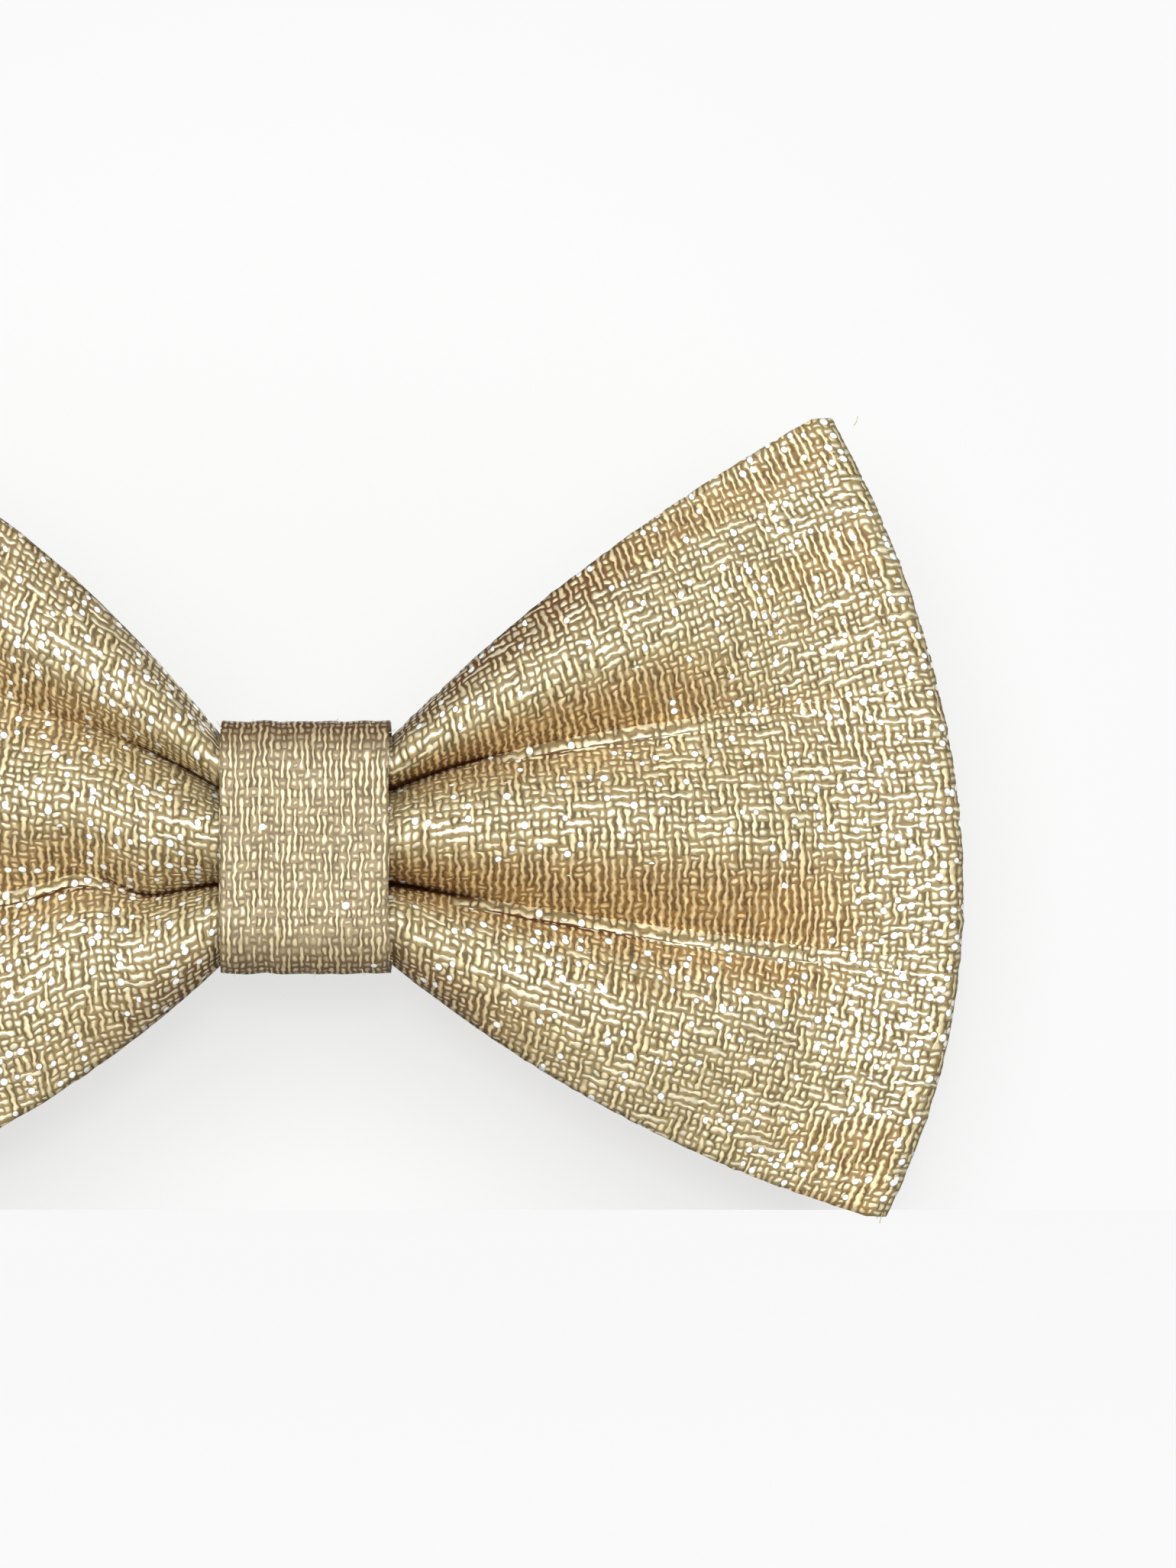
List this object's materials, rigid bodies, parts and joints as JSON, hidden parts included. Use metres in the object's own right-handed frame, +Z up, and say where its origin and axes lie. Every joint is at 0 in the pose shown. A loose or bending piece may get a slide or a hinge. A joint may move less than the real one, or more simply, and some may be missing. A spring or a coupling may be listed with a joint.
{
  "type": "hair bow",
  "caption": "Metallic gold woven hair bow with pleated wings and a centre band, on a sprung alligator clip.",
  "frame": {"origin": "middle of the gap that the hair goes through, between the back of the band and the clip's moving leg", "axes": "+X along the bow, +Z up as worn, +Y towards the head, so the face people see looks along -Y"},
  "size_m": [0.1008, 0.0279, 0.0618],
  "materials": {
    "metallic_cloth": "woven metallic yarn, glittering",
    "interfacing": "matte non-woven",
    "sewing_thread": "twisted thread",
    "hot_glue": "set glue",
    "lining_ribbon": "ribbed ribbon",
    "clip_steel": "nickel plated",
    "spring_steel": "drawn wire"
  },
  "bodies": {
    "bow": {"bow_strip": "metallic_cloth", "interfacing_right": "interfacing", "interfacing_left": "interfacing", "gathering_thread": "sewing_thread", "centre_band": "metallic_cloth", "waist_glue": "hot_glue", "band_glue": "hot_glue", "clip_lining": "lining_ribbon", "clip_fixed_leg": "clip_steel", "clip_pin": "clip_steel", "spring_coil": "spring_steel"},
    "jaw": {"clip_moving_leg": "clip_steel", "spring_moving_end": "spring_steel"}
  },
  "joints": [
    {"name": "clip_open", "type": "hinge", "parent": "bow", "child": "jaw", "pos_m": [-0.015, -0.0002, 0], "axis": [0, 0, 1], "range_deg": [0, 35], "stiffness_Nm_per_rad": 0.1, "springref_deg": -45.84}
  ]
}
